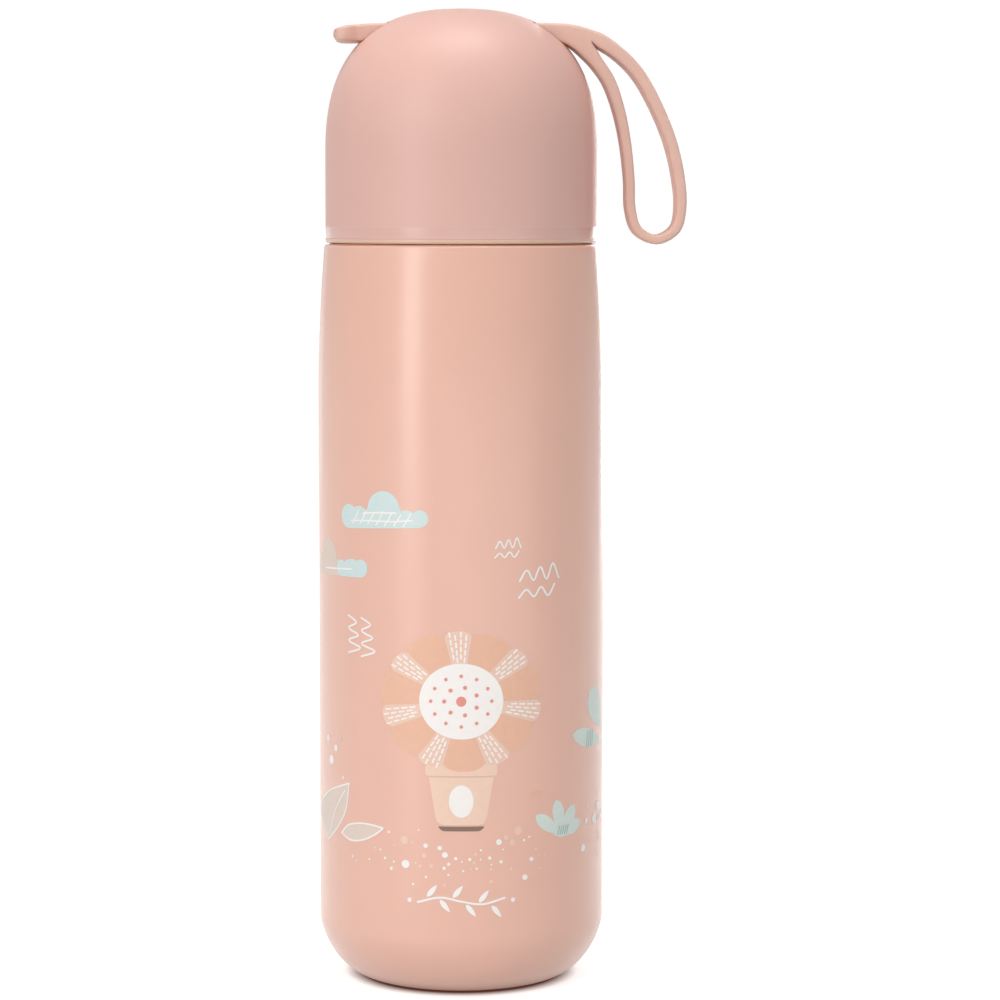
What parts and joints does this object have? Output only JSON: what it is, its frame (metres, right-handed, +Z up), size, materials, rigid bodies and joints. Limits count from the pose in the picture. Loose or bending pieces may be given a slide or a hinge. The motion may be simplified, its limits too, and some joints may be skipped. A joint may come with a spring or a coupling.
{
  "type": "insulated baby bottle",
  "caption": "Slim vacuum-insulated bottle with a screwed push-button stopper, a domed screw-on cup and a silicone strap loop.",
  "frame": {"origin": "centre of the foot, on the surface that the bottle stands on", "axes": "+Z up along the bottle, X along the strap with the hanging loop at +X, -Y the printed front"},
  "size_m": [0.0895, 0.07, 0.2368],
  "materials": {
    "body_paint": "fine satin powder coat, peach",
    "steel": "brushed stainless steel",
    "foot_silicone": "matte silicone",
    "solder": "dull bead",
    "getter_metal": "sintered pellet",
    "white_plastic": "food-grade moulded plastic",
    "cup_plastic": "satin moulded plastic, pink peach",
    "rim_plastic": "smooth moulded plastic, tan peach",
    "clear_silicone": "translucent silicone",
    "strap_silicone": "matte silicone, pink peach",
    "foam": "light insulating foam"
  },
  "bodies": {
    "flask": {"outer_shell": "body_paint", "inner_flask": "steel", "base_plate": "steel", "base_pad": "foot_silicone", "seal_bead": "solder", "getter": "getter_metal", "getter_clip": "steel"},
    "stopper_core": {"stopper_foam": "foam"},
    "stopper_ring": {"plug_seal": "clear_silicone"},
    "stopper": {"stopper_body": "white_plastic", "stopper_base": "white_plastic", "button_collar": "white_plastic", "mouth_gasket": "clear_silicone", "stem_guide": "white_plastic", "button_spring": "steel"},
    "button": {"push_button": "cup_plastic", "button_insert": "rim_plastic", "button_screw": "steel", "valve_stem": "white_plastic", "valve_seal": "clear_silicone"},
    "cup_core": {"cup_foam": "foam"},
    "cup_bowl": {"cup_liner": "white_plastic"},
    "cup": {"cup_shell": "cup_plastic", "cup_thread_ring": "white_plastic", "cup_rim": "rim_plastic"},
    "band": {"strap_band": "strap_silicone"},
    "loop": {"strap_loop": "strap_silicone"}
  },
  "joints": [
    {"name": "stopper_pull", "type": "slide", "parent": "flask", "child": "stopper_core", "axis": [0, 0, 1], "range_m": [0, 0.09]},
    {"name": "stopper_rise", "type": "slide", "parent": "stopper_core", "child": "stopper_ring", "axis": [0, 0, 1], "range_m": [0, 0.0032]},
    {"name": "stopper_turn", "type": "hinge", "parent": "stopper_ring", "child": "stopper", "pos_m": [0, 0, 0.19], "axis": [0, 0, 1], "range_deg": [0, 290]},
    {"name": "button_press", "type": "slide", "parent": "stopper", "child": "button", "axis": [0, 0, -1], "range_m": [0, 0.003], "stiffness_N_per_m": 400, "springref_m": -0.003, "deforming": ["button_spring"]},
    {"name": "cup_pull", "type": "slide", "parent": "stopper", "child": "cup_core", "axis": [0, 0, 1], "range_m": [0, 0.09]},
    {"name": "cup_rise", "type": "slide", "parent": "cup_core", "child": "cup_bowl", "axis": [0, 0, 1], "range_m": [0, 0.0032]},
    {"name": "cup_turn", "type": "hinge", "parent": "cup_bowl", "child": "cup", "pos_m": [0, 0, 0.19], "axis": [0, 0, 1], "range_deg": [0, 290]},
    {"name": "strap_slide", "type": "slide", "parent": "cup", "child": "band", "axis": [1, 0, 0], "range_m": [0, 0.0015]},
    {"name": "strap_swing", "type": "hinge", "parent": "band", "child": "loop", "pos_m": [0.0262, 0, 0.231], "axis": [0, -1, 0], "range_deg": [-5, 120], "stiffness_Nm_per_rad": 0.02, "springref_deg": 2.58}
  ],
  "couplings": [
    {"joint": "stopper_turn", "follows": "stopper_rise", "rad_per_m": 1570.8},
    {"joint": "cup_turn", "follows": "cup_rise", "rad_per_m": 1570.8}
  ]
}
